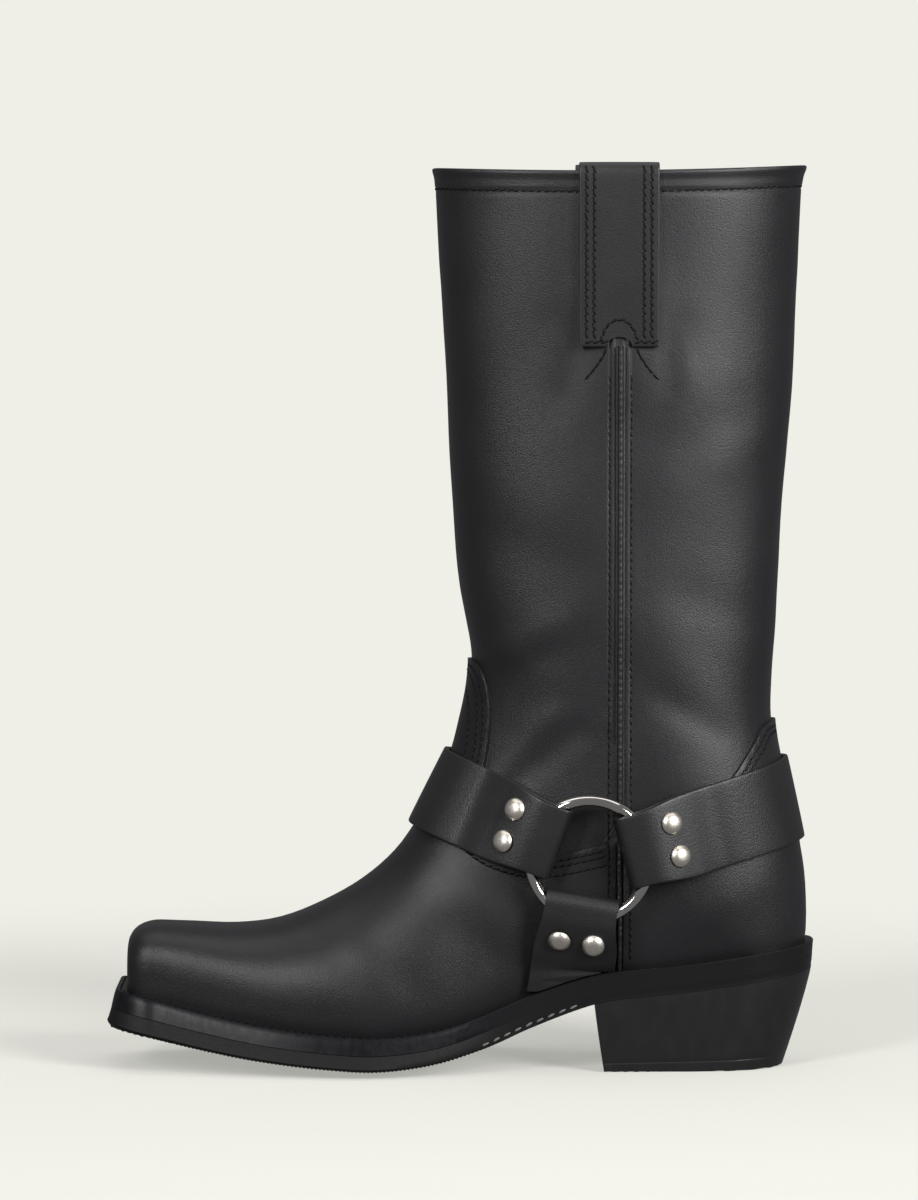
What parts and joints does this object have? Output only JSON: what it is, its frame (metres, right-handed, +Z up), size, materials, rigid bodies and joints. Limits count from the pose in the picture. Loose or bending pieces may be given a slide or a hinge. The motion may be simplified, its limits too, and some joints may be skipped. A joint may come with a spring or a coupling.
{
  "type": "boot",
  "caption": "Black leather pull-on harness boot with square toe, strap harness held by round rings, pull straps, stitched layered sole and slanted heel",
  "frame": {"origin": "centre of the bounding box in X and Y, on the plane that the heel and the forefoot stand on", "axes": "+Z up, toe towards -X, heel towards +X, inner (medial) side towards -Y, outer (lateral) side towards +Y"},
  "size_m": [0.2838, 0.1018, 0.3636],
  "materials": {
    "black_leather": "satin",
    "strap_leather": "satin",
    "edge_leather": "gloss",
    "sole_rubber": "matt",
    "insole_leather": "matt",
    "nickel": "polished"
  },
  "bodies": {
    "root": {"upper": "black_leather", "vamp": "black_leather", "heel_counter": "black_leather", "side_piping_inner": "black_leather", "side_piping_outer": "black_leather", "insole": "insole_leather", "welt": "edge_leather", "midsole": "edge_leather", "outsole": "sole_rubber", "heel": "sole_rubber", "front_strap": "strap_leather", "rear_strap": "strap_leather", "down_strap_inner": "strap_leather", "down_strap_outer": "strap_leather", "pull_strap_inner": "strap_leather", "pull_strap_outer": "strap_leather", "ring_inner": "nickel", "ring_outer": "nickel", "rivet_front_inner_1": "nickel", "rivet_front_inner_2": "nickel", "rivet_rear_inner_1": "nickel", "rivet_rear_inner_2": "nickel", "rivet_down_inner_1": "nickel", "rivet_down_inner_2": "nickel", "rivet_front_outer_1": "nickel", "rivet_front_outer_2": "nickel", "rivet_rear_outer_1": "nickel", "rivet_rear_outer_2": "nickel", "rivet_down_outer_1": "nickel", "rivet_down_outer_2": "nickel"}
  },
  "joints": []
}
